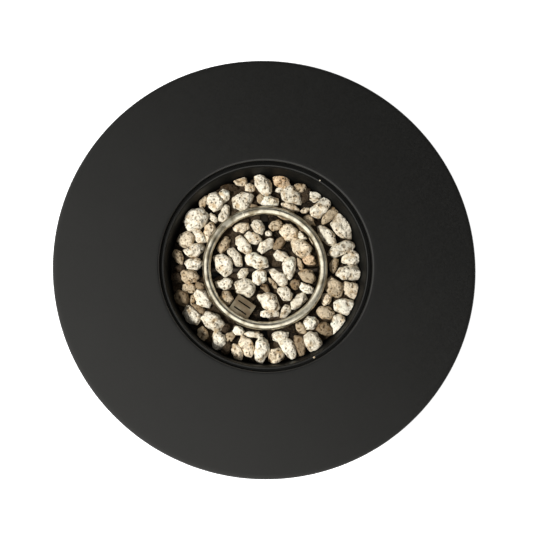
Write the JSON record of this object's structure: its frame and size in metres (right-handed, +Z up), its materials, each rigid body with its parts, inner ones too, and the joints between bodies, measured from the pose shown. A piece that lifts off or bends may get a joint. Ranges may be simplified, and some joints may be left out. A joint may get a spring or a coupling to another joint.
{
  "type": "propane fire pit",
  "caption": "Round steel fire table with a sunken ring burner in a pumice bed, on a drum with a service door, knob and gas cylinder.",
  "frame": {"origin": "centre of the drum on the floor, at the feet's undersides", "axes": "+Z up through the burner ring's centre, -Y towards the control console, +Y towards the service door"},
  "size_m": [0.9999, 1, 0.64],
  "materials": {
    "top_paint": "matte black powder coat with a fine grain",
    "pan_paint": "matte black high-temperature paint",
    "stainless": "polished stainless tube with draw lines",
    "shield_steel": "heat-tinted stainless sheet",
    "zinc": "bright zinc plate",
    "cast_alloy": "die-cast, satin",
    "brass": "machined",
    "ceramic": "white glaze",
    "pumice": "rough cream pumice with dark pores",
    "cylinder_paint": "light grey gloss enamel",
    "knob_plastic": "black, fine texture",
    "foot_plastic": "black nylon pad",
    "hose_rubber": "smooth black",
    "lead_cover": "silicone sleeve",
    "copper_lead": "bare capillary"
  },
  "bodies": {
    "table": {"table_top": "top_paint", "top_skirt": "top_paint", "pan_tabs": "pan_paint", "burner_pan": "pan_paint", "burner_ring": "stainless", "feed_pipe": "stainless", "inlet_nipple": "stainless", "inlet_nuts": "zinc", "burner_stands": "stainless", "igniter_shield": "shield_steel", "igniter_electrode": "ceramic", "flame_sensor": "stainless", "electrode_plate": "zinc", "drum_shell": "top_paint", "base_plate": "top_paint", "top_braces": "top_paint", "brace_bolts": "zinc", "foot_nuts": "zinc", "hinge_frames": "top_paint", "hinge_pins": "zinc", "door_catch": "knob_plastic", "control_console": "top_paint", "gas_valve": "cast_alloy", "valve_nut": "zinc", "knob_bezel": "stainless", "igniter_module": "knob_plastic", "igniter_nut": "knob_plastic", "air_mixer": "brass", "gas_jet": "brass", "jet_elbow": "brass", "gas_cylinder": "cylinder_paint", "cylinder_foot_ring": "cylinder_paint", "cylinder_guard": "cylinder_paint", "locating_ring": "top_paint", "cylinder_valve": "brass", "coupling_nut": "knob_plastic", "regulator": "cast_alloy", "gas_hose": "hose_rubber", "supply_line": "stainless", "ignition_lead": "lead_cover", "sensor_lead": "copper_lead", "outer_pumice": "pumice", "inner_pumice": "pumice", "ring_pumice": "pumice", "lower_pumice": "pumice"},
    "door": {"service_door": "top_paint", "hinge_doors": "top_paint", "door_handle": "stainless", "catch_strike": "zinc"},
    "valve_slider": {"thrust_collar": "brass"},
    "knob": {"valve_stem": "brass", "control_knob": "knob_plastic"},
    "button": {"igniter_button": "knob_plastic"},
    "shutter": {"air_shutter": "cast_alloy"},
    "handwheel": {"valve_handwheel": "knob_plastic"},
    "foot_1": {"levelling_foot_1": "foot_plastic"},
    "foot_2": {"levelling_foot_2": "foot_plastic"},
    "foot_3": {"levelling_foot_3": "foot_plastic"},
    "foot_4": {"levelling_foot_4": "foot_plastic"}
  },
  "joints": [
    {"name": "door_hinge", "type": "hinge", "parent": "table", "child": "door", "pos_m": [-0.18996, 0.25378, 0.27], "axis": [0, 0, 1], "range_deg": [0, 110]},
    {"name": "valve_push", "type": "slide", "parent": "table", "child": "valve_slider", "axis": [0, 1, 0], "range_m": [0, 0.003], "stiffness_N_per_m": 900, "springref_m": -0.003},
    {"name": "knob_turn", "type": "hinge", "parent": "valve_slider", "child": "knob", "pos_m": [0, -0.32, 0.515], "axis": [0, -1, 0], "range_deg": [0, 180]},
    {"name": "igniter_push", "type": "slide", "parent": "table", "child": "button", "axis": [0, 1, 0], "range_m": [0, 0.004], "stiffness_N_per_m": 700, "springref_m": -0.002},
    {"name": "shutter_turn", "type": "hinge", "parent": "table", "child": "shutter", "pos_m": [0, 0, 0.49], "axis": [0, 0, 1], "range_deg": [0, 75]},
    {"name": "handwheel_turn", "type": "hinge", "parent": "table", "child": "handwheel", "pos_m": [0, 0.1485, 0.44], "axis": [0, 0, 1], "range_deg": [0, 720]},
    {"name": "foot_1_height", "type": "slide", "parent": "table", "child": "foot_1", "axis": [0, 0, -1], "range_m": [0, 0.012]},
    {"name": "foot_2_height", "type": "slide", "parent": "table", "child": "foot_2", "axis": [0, 0, -1], "range_m": [0, 0.012]},
    {"name": "foot_3_height", "type": "slide", "parent": "table", "child": "foot_3", "axis": [0, 0, -1], "range_m": [0, 0.012]},
    {"name": "foot_4_height", "type": "slide", "parent": "table", "child": "foot_4", "axis": [0, 0, -1], "range_m": [0, 0.012]}
  ]
}
